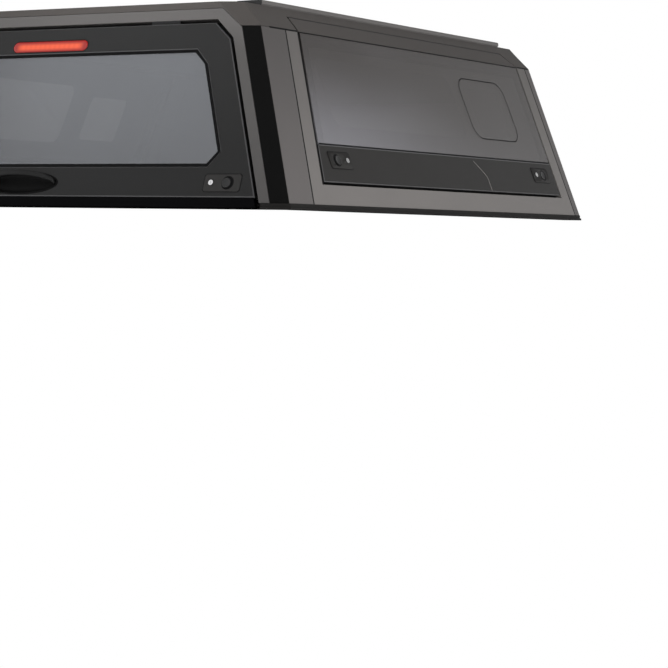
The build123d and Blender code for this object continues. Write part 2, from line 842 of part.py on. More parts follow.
with BuildPart() as hatch_lower_seal:
    lower_outline = both_sides(
        [
            (opening_edge(lip_low) - lip_inset, lip_low),
            (opening_edge(hatch_bottom) - lip_inset, hatch_bottom),
        ]
    )
    extrude(panel(rear_wall.offset(-lip_sink), lower_outline), amount=-lip_depth)
keep("hatch_lower_seal", hatch_lower_seal)

# Side doors: the right-hand one, of which the left-hand one is the mirror image
panel_top = door_panel_top_z / side_slope
door_low = door_sill + door_gap


def door_outline(low, high, inset=0.0):
    inset += door_gap
    return side_panel(door_rear_edge + inset, door_front_edge + inset, low, high)


with BuildPart() as side_door_frame_right:
    extrude(
        panel(
            right_wall.offset(-door_glass_thickness),
            door_outline(door_low, side_top + spare),
            door_outline(panel_top, side_top - door_bar, door_bar),
        ),
        amount=door_glass_thickness - door_depth,
    )
    split(bisect_by=shoulder.offset(-seam), keep=Keep.BOTTOM)
    extrude(plate_faces(right_wall, door_locks, plate_seat), amount=-lock_room, mode=Mode.SUBTRACT)
keep("side_door_frame_right", side_door_frame_right)

with BuildPart() as side_door_panel_right:
    extrude(panel(right_wall, door_outline(door_low, panel_top)), amount=-door_glass_thickness)
    chamfer(outer_edges(side_door_panel_right, right_wall), length=door_panel_bevel)
    extrude(plate_faces(right_wall, door_locks, 0), amount=-plate_sink, mode=Mode.SUBTRACT)
    extrude(plate_faces(right_wall, door_locks, plate_seat), amount=-lock_room, mode=Mode.SUBTRACT)
keep("side_door_panel_right", side_door_panel_right)

vent_middle = panel_top + vent_sill + vent_height / 2
vent_place = (ahead(vent_middle, vent_from_front + vent_width / 2), vent_middle)
vent_pane_size = (vent_width - 2 * vent_seal, vent_height - 2 * vent_seal, vent_radius - vent_seal)
with BuildPart() as side_door_glass_right:
    extrude(
        panel(right_wall, door_outline(panel_top + seam, side_top + spare)),
        amount=-door_glass_thickness,
    )
    with BuildSketch(right_wall):
        with Locations(vent_place):
            RectangleRounded(vent_width, vent_height, vent_radius)
    extrude(amount=-door_glass_thickness, mode=Mode.SUBTRACT)
    split(bisect_by=shoulder.offset(-seam), keep=Keep.BOTTOM)
keep("side_door_glass_right", side_door_glass_right)

with BuildPart() as side_vent_seal_right:
    with BuildSketch(right_wall):
        with Locations(vent_place):
            RectangleRounded(vent_width, vent_height, vent_radius)
            RectangleRounded(*vent_pane_size, mode=Mode.SUBTRACT)
    extrude(amount=-door_glass_thickness)
keep("side_vent_seal_right", side_vent_seal_right)

with BuildPart() as side_vent_pane_right:
    with BuildSketch(right_wall):
        with Locations(vent_place):
            RectangleRounded(*vent_pane_size)
    extrude(amount=-door_glass_thickness)
keep("side_vent_pane_right", side_vent_pane_right)

with BuildPart() as side_door_flange_right:
    extrude(
        panel(right_bevel, flange_outline(door_gap, bevel_width - hinge_gap / 2)),
        amount=-flange_thickness,
    )
    split(bisect_by=shoulder, keep=Keep.TOP)
keep("side_door_flange_right", side_door_flange_right)

for piece_name in list(pieces):
    if piece_name.startswith("side_") and piece_name.endswith("_right"):
        with BuildPart() as left_piece:
            mirror(pieces[piece_name], about=Plane.YZ)
        keep(piece_name.replace("_right", "_left"), left_piece)

os.makedirs("parts", exist_ok=True)
for piece_name, piece in pieces.items():
    export_step(piece, f"parts/{piece_name}.step")
    print(piece_name, len(piece.solids()), round(piece.volume / 1e3), "cm3", piece.bounding_box())
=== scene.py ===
# %% [markdown]
# # A hard-shell canopy
# The canopy is a painted metal shell with a hatch at its rear and a door in each side, and it keeps
# what lies under it dry and locked up. Its shape comes from a packed CAD model, and this script
# dresses it: soft edges on the sheet metal, a satin paint, tinted glass, rubber seals, and the
# small parts that a hand touches. The model could be rebuilt here from nothing, but then its doors
# wouldn't fit its own frame. So the CAD pieces stay where they are, and each new piece rides on the
# body that carries it.

# %% Load the fixed frame
import json
from math import copysign, cos, pi, radians, sin, sqrt

import bmesh
import bpy
from mathutils import Matrix, Vector

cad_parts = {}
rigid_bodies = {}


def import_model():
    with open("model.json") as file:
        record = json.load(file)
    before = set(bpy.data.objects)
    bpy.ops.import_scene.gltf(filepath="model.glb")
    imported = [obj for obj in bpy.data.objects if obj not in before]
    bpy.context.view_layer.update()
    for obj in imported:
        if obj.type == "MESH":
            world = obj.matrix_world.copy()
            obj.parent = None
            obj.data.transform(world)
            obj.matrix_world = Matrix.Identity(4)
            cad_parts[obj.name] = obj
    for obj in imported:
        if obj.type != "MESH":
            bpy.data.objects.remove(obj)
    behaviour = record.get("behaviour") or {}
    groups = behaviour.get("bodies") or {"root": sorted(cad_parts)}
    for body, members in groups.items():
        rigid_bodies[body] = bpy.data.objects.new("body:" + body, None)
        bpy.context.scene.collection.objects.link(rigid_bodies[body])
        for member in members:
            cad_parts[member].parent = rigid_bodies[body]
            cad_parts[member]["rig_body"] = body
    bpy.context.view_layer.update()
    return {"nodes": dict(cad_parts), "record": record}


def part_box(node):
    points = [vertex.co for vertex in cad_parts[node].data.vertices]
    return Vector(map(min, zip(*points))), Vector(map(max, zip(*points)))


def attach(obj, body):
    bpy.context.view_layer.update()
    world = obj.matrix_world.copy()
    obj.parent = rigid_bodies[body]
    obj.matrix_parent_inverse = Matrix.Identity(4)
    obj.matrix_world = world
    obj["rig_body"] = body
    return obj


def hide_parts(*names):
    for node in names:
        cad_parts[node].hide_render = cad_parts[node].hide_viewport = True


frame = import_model()
scene = bpy.context.scene
mm = 0.001

# %% [markdown]
# # The camera
# The picture looks at the right rear corner from about seven metres away, from a little below the
# canopy's foot and slightly downwards. A camera can be turned by three angles, but they mix up
# easily. Here the view direction is written out, and the camera's own right and up axes follow from
# it, with the roll added last.

# %% Camera
camera_place = Vector((3.7887, -5.6214, -0.0695))
yaw, pitch, roll = radians(30.57), radians(-2.37), radians(0.96)
ahead = Vector((-sin(yaw) * cos(pitch), cos(yaw) * cos(pitch), sin(pitch)))
level_right = Vector((cos(yaw), sin(yaw), 0))
level_up = level_right.cross(ahead)
camera_right = cos(roll) * level_right + sin(roll) * level_up
camera_up = cos(roll) * level_up - sin(roll) * level_right

lens = bpy.data.cameras.new("camera")
lens.sensor_width = 36
lens.lens = 123.8
camera = bpy.data.objects.new("camera", lens)
scene.collection.objects.link(camera)
axes = Matrix((camera_right, camera_up, -ahead)).transposed().to_4x4()
camera.matrix_world = Matrix.Translation(camera_place) @ axes
scene.camera = camera
scene.view_settings.view_transform = "Standard"
print("Camera looks along", [round(part, 3) for part in ahead])

# %% [markdown]
# # Shader maths
# A material is a tree of nodes, and wiring each one by hand hides what it works out. This small
# class wraps a socket, so that a mask can be written as plain maths, such as 1 - mask * 0.5. Every
# other kind of node comes from its node method. Colours go through mix, because a Math node would
# turn them grey.

# %% A class for shader maths
class Wire:
    """A socket in a material's node tree, with Python's operators on it."""

    def __init__(self, tree, socket=None):
        self.tree = tree
        self.socket = socket

    def node(self, kind, settings, values, output=0):
        """Adds a node: its settings first, then the value or the link of each socket."""
        made = self.tree.nodes.new(kind)
        for name, setting in settings.items():
            setattr(made, name, setting)
        for name, value in values.items():
            if isinstance(value, Wire):
                self.tree.links.new(value.socket, made.inputs[name])
            else:
                made.inputs[name].default_value = value
        return Wire(self.tree, made.outputs[output])

    def maths(self, operation, first, second=0):
        return self.node("ShaderNodeMath", {"operation": operation}, {0: first, 1: second})

    def __add__(self, other):
        return self.maths("ADD", self, other)

    def __sub__(self, other):
        return self.maths("SUBTRACT", self, other)

    def __rsub__(self, other):
        return self.maths("SUBTRACT", other, self)

    def __mul__(self, other):
        return self.maths("MULTIPLY", self, other)

    def __abs__(self):
        return self.maths("ABSOLUTE", self)

    __radd__ = __add__
    __rmul__ = __mul__

    def larger(self, other):
        return self.maths("MAXIMUM", self, other)

    def span(self, low, high):
        """0 at low, 1 at high, and a smooth rise between them."""
        return self.node(
            "ShaderNodeMapRange",
            {"interpolation_type": "SMOOTHSTEP"},
            {"Value": self, "From Min": low, "From Max": high},
        )

    def mix(self, dark, light):
        """A colour between two others, with this wire as the share of the second."""
        return self.node(
            "ShaderNodeMix", {"data_type": "RGBA"}, {0: self, 6: (*dark, 1), 7: (*light, 1)}, 2
        )


print("Wire has", len([name for name in vars(Wire) if callable(getattr(Wire, name))]), "methods")

# %% [markdown]
# # Colours, places and rays
# A colour that is read off a screen isn't the number that a shader takes: the screen's values are
# bent, and the shader's are in proportion to the light. The formula for sRGB turns one into the
# other. The other helpers give a material's wires the things they start from: where a point lies,
# and what kind of ray has hit it.

# %% Helpers for materials
def linear(red, green, blue):
    """A colour as a screen shows it, 0 to 255, in the linear values that a shader takes."""
    shares = [part / 255 for part in (red, green, blue)]
    return tuple(
        part / 12.92 if part <= 0.04045 else ((part + 0.055) / 1.055) ** 2.4 for part in shares
    )


def place(wires):
    """Where a point of the surface lies, in metres."""
    return wires.node("ShaderNodeTexCoord", {}, {}, "Object")


def along(wires, axis):
    """How far that point lies along x, y or z, which are 0, 1 and 2."""
    return wires.node("ShaderNodeSeparateXYZ", {}, {0: place(wires)}, axis)


def ray(wires, kind):
    """1 for a ray of this kind, and 0 for any other."""
    return wires.node("ShaderNodeLightPath", {}, {}, f"Is {kind} Ray")


def new_material(name):
    """A material, the wire that stands for its tree, and its shader."""
    material = bpy.data.materials.new(name)
    material.use_nodes = True
    return material, Wire(material.node_tree), material.node_tree.nodes["Principled BSDF"]


def blend(share, first, second):
    """A mix of two shaders, by the share of the second."""
    return share.node("ShaderNodeMixShader", {}, {0: share, 1: first, 2: second})


def show(wire, output="Material Output"):
    """Makes a shader the one that shows."""
    wire.tree.links.new(wire.socket, wire.tree.nodes[output].inputs["Surface"])


print("Mid grey in linear values:", [round(part, 3) for part in linear(128, 128, 128)])

# %% [markdown]
# # Light and background
# The picture has a white background and soft light that comes mostly from the sides and the rear,
# for the roof's slopes are darker than the walls. A white world alone would light the roof as
# strongly as the walls. So the world is pale along the horizon and dark overhead and ahead. The
# camera sees plain white instead, and so does a ray that has passed through glass.

# %% World
world = bpy.data.worlds.new("studio")
scene.world = world
world.use_nodes = True
sky = Wire(world.node_tree)
side_light, ceiling = (0.86, 0.86, 0.87), (0.16, 0.16, 0.16)
dim_from, dim_to, dim_ahead = 0.4, 0.76, 0.25
towards = sky.node("ShaderNodeTexCoord", {}, {}, "Generated")
forward = sky.node("ShaderNodeSeparateXYZ", {}, {0: towards}, 1)
upward = sky.node("ShaderNodeSeparateXYZ", {}, {0: towards}, 2)
sky_colour = (upward + forward * dim_ahead).span(dim_from, dim_to).mix(side_light, ceiling)
lit = sky.node("ShaderNodeBackground", {}, {0: sky_colour, 1: 1.0})
white = sky.node("ShaderNodeBackground", {}, {0: (1, 1, 1, 1), 1: 1.0})
seen = ray(sky, "Camera").larger(ray(sky, "Transmission"))
show(blend(seen, lit, white), "World Output")
print("World nodes:", len(world.node_tree.nodes))

# %% [markdown]
# # Soft lamps
# Large lamps beside, behind and in front of the canopy light its walls, as tall windows would. A
# sun lamp would be simpler, but it draws hard shadows. Each lamp here is a rectangle that faces a
# point on the canopy. Lamps also show in what they light, and the glass would mirror them as white
# blocks, so they are left out of it.

# %% Lamps
def soft_lamp(name, lamp_place, aim, width, height, power):
    light = bpy.data.lights.new(name, "AREA")
    light.shape = "RECTANGLE"
    light.size, light.size_y = width, height
    light.energy = power
    lamp = bpy.data.objects.new(name, light)
    scene.collection.objects.link(lamp)
    lamp.location = lamp_place
    lamp.rotation_euler = (Vector(aim) - Vector(lamp_place)).to_track_quat("-Z", "Y").to_euler()
    lamp.visible_camera = False
    lamp.visible_glossy = False
    return lamp


lamps = [
    soft_lamp("lamp_right", (4.0, -0.4, 1.0), (0.8, 0.0, 0.15), 2.4, 1.4, 78),
    soft_lamp("lamp_rear", (0.15, -1.5, 1.1), (0.15, -0.72, 0.5), 1.5, 0.3, 12),
    soft_lamp("lamp_front", (-1.5, 4.2, 1.6), (0.0, 0.6, 0.2), 2.6, 1.4, 70),
    soft_lamp("lamp_left", (-4.2, -0.6, 1.4), (-0.8, 0.0, 0.2), 2.4, 1.4, 60),
]
print("Lamps:", len(lamps), "with", sum(lamp.data.energy for lamp in lamps), "W")

# %% [markdown]
# # The floor
# The canopy rests on a pale floor that keeps its shadow. The camera is a little lower than the
# canopy's foot, so it looks at this floor from below. The floor could be moved down, but then the
# canopy would hang in the air. Instead its underside lets the camera's rays through, and the white
# world shows there. Its top turns whiter with the distance, so that a view from above has no
# horizon.

# %% Floor
def flat_sheet(name, left, rear, right, front, z):
    mesh = bpy.data.meshes.new(name)
    corners = [(left, rear, z), (right, rear, z), (right, front, z), (left, front, z)]
    mesh.from_pydata(corners, [], [(0, 1, 2, 3)])
    made = bpy.data.objects.new(name, mesh)
    scene.collection.objects.link(made)
    return made


def plain_light(wires):
    """The white of the background."""
    return wires.node("ShaderNodeEmission", {}, {"Color": (1, 1, 1, 1), "Strength": 1.0})


floor_half = 14.0
near_white, white_from, white_at = 0.4, 1.6, 6.0
foot_blur = 0.02
floor = flat_sheet("floor", -floor_half, -floor_half, floor_half, floor_half, 0)
pale, pale_wires, pale_shader = new_material("pale_floor")
pale_shader.inputs["Base Color"].default_value = (0.86, 0.86, 0.86, 1)
pale_shader.inputs["Roughness"].default_value = 0.9
floor_place = place(pale_wires)
from_middle = pale_wires.node("ShaderNodeVectorMath", {"operation": "LENGTH"}, {0: floor_place}, 1)
whiteness = from_middle.span(white_from, white_at) * (1 - near_white) + near_white

foot_low, foot_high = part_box("base_seal")
past_foot = []
for axis, reach in ((0, foot_high.x), (1, foot_high.y)):
    off = along(pale_wires, axis)
    past_foot.append((off * off).span(reach * reach - foot_blur, reach * reach))
whiteness = whiteness * ray(pale_wires, "Camera") * past_foot[0].larger(past_foot[1])
top_side = Wire(pale.node_tree, pale_shader.outputs[0])
seen_top = blend(whiteness, top_side, plain_light(pale_wires))
underside = pale_wires.node("ShaderNodeNewGeometry", {}, {}, "Backfacing")
seen_from_below = underside * ray(pale_wires, "Camera")
clear = pale_wires.node("ShaderNodeBsdfTransparent", {}, {})
show(blend(seen_from_below, seen_top, clear))
floor.data.materials.append(pale)
print("Floor:", 2 * floor_half, "m wide")

# %% [markdown]
# # White under the foot
# With a floor that is clear from below, the camera would see the dark inside of the canopy under
# its foot. A second sheet, one millimetre under the floor and a little smaller than the foot, is
# plain white to the camera and clear to all other rays. So the view ends at the foot, and the light
# inside stays as it is.

# %% White sheet
sheet_inset = 12 * mm
screen = flat_sheet(
    "floor_screen", foot_low.x + sheet_inset, foot_low.y + sheet_inset, foot_high.x - sheet_inset,
    foot_high.y - sheet_inset, -1 * mm,
)
plain_white, white_wires = new_material("plain_white")[:2]
see_through = white_wires.node("ShaderNodeBsdfTransparent", {}, {})
show(blend(ray(white_wires, "Camera"), see_through, plain_light(white_wires)))
screen.data.materials.append(plain_white)
print("White sheet:", round(sheet_inset / mm), "mm inside the foot")

# %% [markdown]
# # Satin paint
# The shell has a powder coat: a matt colour with a fine grain and a soft sheen. A flat colour would
# look like plastic film. Two noises do the work. A broad one drifts the tone and the gloss a little
# from place to place, as on any large painted sheet, and a fine one raises the grain, through a
# Bump node that feeds the Normal. A fade over the height adds painted shade and light: the side
# walls and the posts are darker towards their top, and the rear frame and the hatch paler towards
# theirs.

# %% Finishes with a grain
finishes = {}
noise_low, noise_high = 0.3, 0.7
broad_waves, broad_share = 3.5, 0.75
gloss_drift, gloss_grain = 0.16, 0.1


def finish(name, roughness, specular=0.5, metallic=0.0, coat=0.0):
    """Adds a finish, and gives its wires and its shader."""
    material, wires, shader = new_material(name)
    shader.inputs["Roughness"].default_value = roughness
    shader.inputs["Specular IOR Level"].default_value = specular
    shader.inputs["Metallic"].default_value = metallic
    shader.inputs["Coat Weight"].default_value = coat
    finishes[name] = material
    return wires, shader


def plug(shader, name, wire):
    wire.tree.links.new(wire.socket, shader.inputs[name])


def noise(wires, scale, detail=2.0, stretch=(1, 1, 1)):
    """Noise over the object, with its scale in waves per metre."""
    drawn = wires.node("ShaderNodeMapping", {}, {"Vector": place(wires), "Scale": stretch})
    return wires.node("ShaderNodeTexNoise", {}, {"Vector": drawn, "Scale": scale, "Detail": detail})


def raise_relief(wires, shader, strength, depth, height):
    """A relief that is depth metres deep."""
    values = {"Strength": strength, "Distance": depth, "Height": height}
    plug(shader, "Normal", wires.node("ShaderNodeBump", {}, values))


def grained(
    name, colour, roughness, grain, waves, drift=0.06, specular=0.5, fade=0.0, heights=(0.0, 0.5)
):
    """A finish with a drifting tone and a raised grain, so many millimetres deep and with so many
    waves to the metre. Fade is painted shade: how much darker the tone is at the upper one of two
    heights than midway between them, and it is below zero where the tone is paler there, which is
    painted light."""
    wires, shader = finish(name, roughness, specular)
    broad, fine = noise(wires, broad_waves, detail=4.0), noise(wires, waves)
    tone = (broad * broad_share + fine * (1 - broad_share)).span(noise_low, noise_high)
    height = along(wires, 2).span(*heights)
    swing = drift + abs(fade)
    share = tone * (drift / swing) + (1 - height if fade > 0 else height) * (abs(fade) / swing)
    middle = linear(*colour)
    dark, light = (tuple(part * (1 + way * swing) for part in middle) for way in (-1, 1))
    plug(shader, "Base Color", share.mix(dark, light))
    gloss = broad * gloss_drift + fine * gloss_grain
    plug(shader, "Roughness", gloss + (roughness - (gloss_drift + gloss_grain) / 2))
    raise_relief(wires, shader, 1.0, grain * mm, fine)


paint_grain, paint_waves = 0.12, 900
# The fades are painted shade and light over the height: darker towards the top on the walls and the
# posts, paler towards the top on the rear frame and the hatch.
grained("body_paint", (98, 95, 93), 0.46, paint_grain, paint_waves, specular=0.36, fade=0.2)
# The post, front, roof and rear paints are darker copies of the body paint: painted shade on panels
# that face away from the light.
grained("post_shaded_paint", (82, 79, 78), 0.44, paint_grain, paint_waves, specular=0.34, fade=0.22)
grained("front_shaded_paint", (80, 77, 76), 0.44, paint_grain, paint_waves, specular=0.34)
grained("roof_shaded_paint", (71, 68, 66), 0.46, paint_grain, paint_waves, specular=0.15)
grained(
    "rear_shaded_paint", (77, 75, 74), 0.44, paint_grain, paint_waves, specular=0.34,
    fade=-0.17, heights=(0.38, 0.5),
)
grained(
    "hatch_paint", (31, 31, 31), 0.42, paint_grain, paint_waves, specular=0.22,
    fade=-0.14, heights=(0.08, 0.5),
)
grained("inner_frame", (30, 30, 30), 0.55, paint_grain, paint_waves, specular=0.3)
# The edge paint is a painted highlight: a paler, glossier tone for bevelled edges and for the door
# panel's upper edge, where light runs along them.
grained("edge_highlight_paint", (74, 74, 75), 0.36, 0.08, paint_waves)
grained("door_panel", (37, 36, 35), 0.5, 0.2, 700, specular=0.22)
print("Painted finishes:", sorted(finishes))

# %% [markdown]
# # Rubber and moulded plastic
# The seals are black rubber with a dull bloom, and the lock plates, the buttons and the handle are
# moulded plastic with a fine eroded texture. Both are dark, so their relief and their gloss matter
# more than their colour. The paint's recipe serves for both, with a coarser grain in the rubber and
# little gloss. The lip under the hatch has almost none, because it faces the light and would look
# grey.

# %% Rubber and plastic
grained("corner_rubber", (9, 9, 9), 0.65, 0.3, 500, 0.12, 0.1)
grained("rail_seal", (22, 21, 20), 0.62, 0.3, 400, 0.12, 0.2)
grained("glass_seal", (10, 10, 11), 0.5, 0.2, 500, 0.1, 0.1)
grained("lip_rubber", (7, 7, 8), 0.7, 0.3, 500, 0.12, 0.03)
grained("trim_plastic", (24, 24, 24), 0.5, 0.2, 900, 0.08, 0.3)
grained("plate_plastic", (37, 36, 35), 0.5, 0.2, 900, 0.08, 0.3)
# The bowl's finish is dark plastic made black: painted shade in the handle's recess and in the
# finger dishes.
grained("bowl_shade_plastic", (8, 8, 8), 0.42, 0.1, 1200, 0.08, 0.1)
grained("grip_plastic", (24, 24, 24), 0.42, 0.1, 1200, 0.08, 0.2)
grained("button_plastic", (34, 34, 34), 0.38, 0.1, 1200, 0.08, 0.35)
print("Finishes so far:", len(finishes))

# %% [markdown]
# # Tinted glass
# The windows are dark privacy glass. They mirror the pale surroundings, more strongly than plain
# glass would, and let a little light through, so that the far windows show as paler shapes. Real
# refraction would be slow and adds nothing in flat sheets. The tint is an alpha instead: each face
# of a pane hides part of what is behind it. A random haze varies the tone a little, and a painted
# reflection of the surroundings makes each pane paler in one place and towards one end of its
# height.

# %% Glass
pane_roughness, pane_drift = 0.05, 0.05
# Shares of a random haze, and of a painted reflection over the height and in one place.
haze_part, reflection_up_part, reflection_part = 0.15, 0.05, 0.8


def tinted(name, dark, light, alpha, index, reflection_place):
    """Glass with a painted reflection that turns it pale in one place, where two spans meet: one
    along an axis and one up.
    """
    wires, shader = finish(name, pane_roughness)
    shader.inputs["IOR"].default_value = index
    shader.inputs["Alpha"].default_value = alpha
    axis, along_span, up_span = reflection_place
    along_share, up_share = along(wires, axis).span(*along_span), along(wires, 2).span(*up_span)
    haze = noise(wires, 2.0, detail=3.0, stretch=(1, 0.6, 1.4))
    share = haze.span(noise_low, noise_high) * haze_part + up_share * reflection_up_part
    share = share + up_share * along_share * reflection_part
    plug(shader, "Base Color", share.mix(linear(*dark), linear(*light)))
    plug(shader, "Roughness", haze * pane_drift + pane_roughness)


hatch_alpha, door_alpha = 0.56, 0.7
# Painted reflections: the hatch glass turns paler towards its top and the canopy's right side, each
# door's glass towards its foot and its rear end.
hatch_reflection = (0, (-0.5, 0.05), (-0.6, 0.5))
door_reflection = (1, (0.35, -0.6), (0.42, 0.16))
tinted("hatch_glass", (62, 62, 66), (106, 109, 114), hatch_alpha, 2.05, hatch_reflection)
tinted("door_glass", (66, 62, 60), (124, 123, 128), door_alpha, 2.0, door_reflection)
print("A door's pane hides", round(1 - (1 - door_alpha) ** 2, 2), "of what is behind it")

# %% [markdown]
# # A window that fades to its edges
# The window in the front wall has a printed border of dots that grow until they meet, so the glass
# is clear in the middle and black at its edges. Drawing the dots would be too fine for the picture,
# so the alpha rises from the middle outwards instead. Squares would make the clear part an oval.
# Fourth powers square it up, so that it looks like a window through the other panes.

# %% Front window
window_low, window_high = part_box("front_window_glass")
window_middle = (window_low + window_high) / 2
window_half = (window_high - window_low) / 2
middle_alpha, edge_alpha = 0.72, 0.98
fade_from, fade_to = 0.2, 1.0
dot_wires, dot_shader = finish("front_glass", pane_roughness)
dot_shader.inputs["Base Color"].default_value = (*linear(30, 30, 31), 1)
dot_shader.inputs["IOR"].default_value = 1.6
off_x = along(dot_wires, 0) * (1 / window_half.x)
off_z = (along(dot_wires, 2) - window_middle.z) * (1 / window_half.z)
x_squared, z_squared = off_x * off_x, off_z * off_z
from_centre = x_squared * x_squared + z_squared * z_squared
darkness = from_centre.span(fade_from, fade_to)
plug(dot_shader, "Alpha", darkness * (edge_alpha - middle_alpha) + middle_alpha)
print("Window:", [round(2 * part, 3) for part in window_half])

# %% [markdown]
# # Metal
# The key barrels are bright chrome, and the hinge pins are brushed steel. A smooth metal of one
# colour would look like a mirror cut out of the picture, so a fine noise varies its gloss. Where
# that noise is stretched along one axis, it turns into brush marks.

# %% Chrome and steel
brush_waves, brush_gloss, brush_tone, brush_depth = 1500, 0.18, 0.88, 0.03


def metal(name, colour, roughness, stretch):
    wires, shader = finish(name, roughness, metallic=1.0)
    brushed = noise(wires, brush_waves, stretch=stretch)
    light = linear(*colour)
    plug(shader, "Roughness", brushed * brush_gloss + (roughness - 0.05))
    plug(shader, "Base Color", brushed.mix(tuple(part * brush_tone for part in light), light))
    raise_relief(wires, shader, 0.5, brush_depth * mm, brushed)


metal("key_metal", (236, 236, 236), 0.16, (1, 1, 1))
metal("hinge_metal", (70, 70, 71), 0.4, (1, 0.05, 1))
print("Metals:", [name for name in finishes if name.endswith("metal")])

# %% [markdown]
# # The brake light's glow
# The lamps inside a brake light show as a hot core behind a red lens. A lens of one colour would
# look painted, and a lamp behind real glass would take many rays. So the colour that the lens gives
# off changes over it: from deep red at its edges and ends to orange along its middle, with a slight
# dip between one lamp and the next.

# %% Brake light's finish
lamp_pitch, lamp_edge, lamp_dip = 8 * mm, (0.5 * mm, 7 * mm), 0.08
core_up, core_across = (2 * mm, 12.5 * mm), (92 * mm, 115 * mm)
brake_low, brake_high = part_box("brake_light_lens")
brake_middle = (brake_low + brake_high) / 2
brake_wires, brake_shader = finish("brake_lens", 0.12, coat=0.3)
brake_shader.inputs["Base Color"].default_value = (*linear(120, 16, 10), 1)
brake_shader.inputs["Emission Strength"].default_value = 0.7
across_lens = along(brake_wires, 0)
off_line = abs(along(brake_wires, 2) - brake_middle.z)
core = (1 - off_line.span(*core_up)) * (1 - abs(across_lens).span(*core_across))
cells = across_lens.maths("PINGPONG", across_lens, lamp_pitch).span(*lamp_edge)
glow = core * (cells * lamp_dip + (1 - lamp_dip))
plug(brake_shader, "Emission Color", glow.mix(linear(96, 14, 9), linear(250, 106, 56)))
print("All finishes:", len(finishes))

# %% [markdown]
# # A finish for every piece
# The record that came with the model names a slot for each piece. One loop gives every piece the
# finish of its slot, so that none is missed.

# %% Give each node its finish
slot_of = {}
for part in frame["record"]["subparts"]:
    slot_of[part["node"]] = part["material_slot"]
for name, node in frame["nodes"].items():
    node.data.materials.clear()
    node.data.materials.append(finishes[slot_of[name]])
print("Slots in use:", sorted(set(slot_of.values())))

# %% [markdown]
# # Working on a leaning wall
# The rear wall leans forward and the side walls lean inwards, so a round button on them isn't round
# to the world's axes. A matrix for each wall lets pieces be drawn flat: x runs across the wall, y
# up its slope and z out of it. The left wall is the right one's mirror image, so its pieces are
# drawn once and then mirrored.

# %% Wall frames
rear_lean, side_lean = radians(19.5), radians(23)
rear_foot, side_foot = Vector((0, -0.8702, 0)), Vector((0.843, 0, 0))
rear_out = Vector((0, -cos(rear_lean), sin(rear_lean)))
right_out = Vector((cos(side_lean), 0, sin(side_lean)))
left_out = Vector((-right_out.x, 0, right_out.z))


def wall_frame(foot, across, outwards):
    """The matrix from a flat drawing to a wall. The drawing's origin goes to the wall's foot."""
    up = outwards.cross(across)
    return Matrix.Translation(foot) @ Matrix((across, up, outwards)).transposed().to_4x4()


rear_wall = wall_frame(rear_foot, Vector((1, 0, 0)), rear_out)
right_wall = wall_frame(side_foot, Vector((0, 1, 0)), right_out)
# Each side, and whether a drawing on the right wall is mirrored for it
sides = (("right", False), ("left", True))
print("The rear wall faces", [round(part, 3) for part in rear_out])

# %% [markdown]
# # Soft edges
# No edge on sheet metal or moulded plastic is perfectly sharp, and it is the small round on an edge
# that catches the light. A CAD model could have all of them, but they would fill it with facets.
# Here each piece is copied, its flat triangles are joined into whole faces, and a Bevel modifier
# rounds the edges. A Weighted Normal modifier then keeps the large faces looking flat.

# %% A helper that rounds a CAD piece
same_point, same_plane = 0.002 * mm, radians(0.4)
round_steps, sharp_degrees = 2, 24
# How far a face that counts as a bevelled edge faces outwards, from 0 to 1
bevel_low, bevel_high = 0.5, 0.9


def settle(piece):
    """Turns the modifiers of a piece into plain mesh."""
    bpy.context.view_layer.update()
    done = piece.evaluated_get(bpy.context.evaluated_depsgraph_get())
    mesh = bpy.data.meshes.new_from_object(done)
    piece.modifiers.clear()
    piece.data = mesh


def soften(name, width, cutters=(), outwards=None):
    """A copy of a CAD node with rounded edges, which stands for it. Cutters are taken out of it
    first. Where its outward direction is given, the bevelled faces on that side get a paler finish,
    a painted highlight along the edge."""
    source = frame["nodes"][name]
    form = bmesh.new()
    form.from_mesh(source.data)
    bmesh.ops.remove_doubles(form, verts=form.verts, dist=same_point)
    bmesh.ops.dissolve_limit(form, angle_limit=same_plane, verts=form.verts, edges=form.edges)
    bmesh.ops.recalc_face_normals(form, faces=form.faces)
    mesh = bpy.data.meshes.new(name + "_soft")
    form.to_mesh(mesh)
    form.free()
    piece = bpy.data.objects.new(name + "_soft", mesh)
    scene.collection.objects.link(piece)
    mesh.materials.append(finishes[slot_of[name]])
    mesh.shade_smooth()
    if outwards:
        mesh.materials.append(finishes["edge_highlight_paint"])
        for face in mesh.polygons:
            face.material_index = int(bevel_low < face.normal.dot(outwards) < bevel_high)
    for cutter in cutters:
        hollow = piece.modifiers.new("hollow", "BOOLEAN")
        hollow.operation = "DIFFERENCE"
        hollow.solver = "EXACT"
        hollow.material_mode = "TRANSFER"
        hollow.object = cutter
    rounding = piece.modifiers.new("rounding", "BEVEL")
    rounding.width = width * mm
    rounding.segments = round_steps
    rounding.limit_method = "ANGLE"
    rounding.angle_limit = radians(sharp_degrees)
    rounding.use_clamp_overlap = True
    flattening = piece.modifiers.new("flattening", "WEIGHTED_NORMAL")
    flattening.weight = 100
    if cutters:
        settle(piece)
    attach(piece, source["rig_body"])
    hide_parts(name)
    return piece


print("Edges that turn by", sharp_degrees, "degrees or more are rounded in", round_steps, "steps")

# %% [markdown]
# # How round each piece is
# Folded sheet metal has the largest rounds, glass has a fine ground edge, and turned parts have the
# smallest. The bevelled edges of the hatch and of the door panels get a paler, glossier finish: a
# painted highlight, the thin line of light that runs along them.

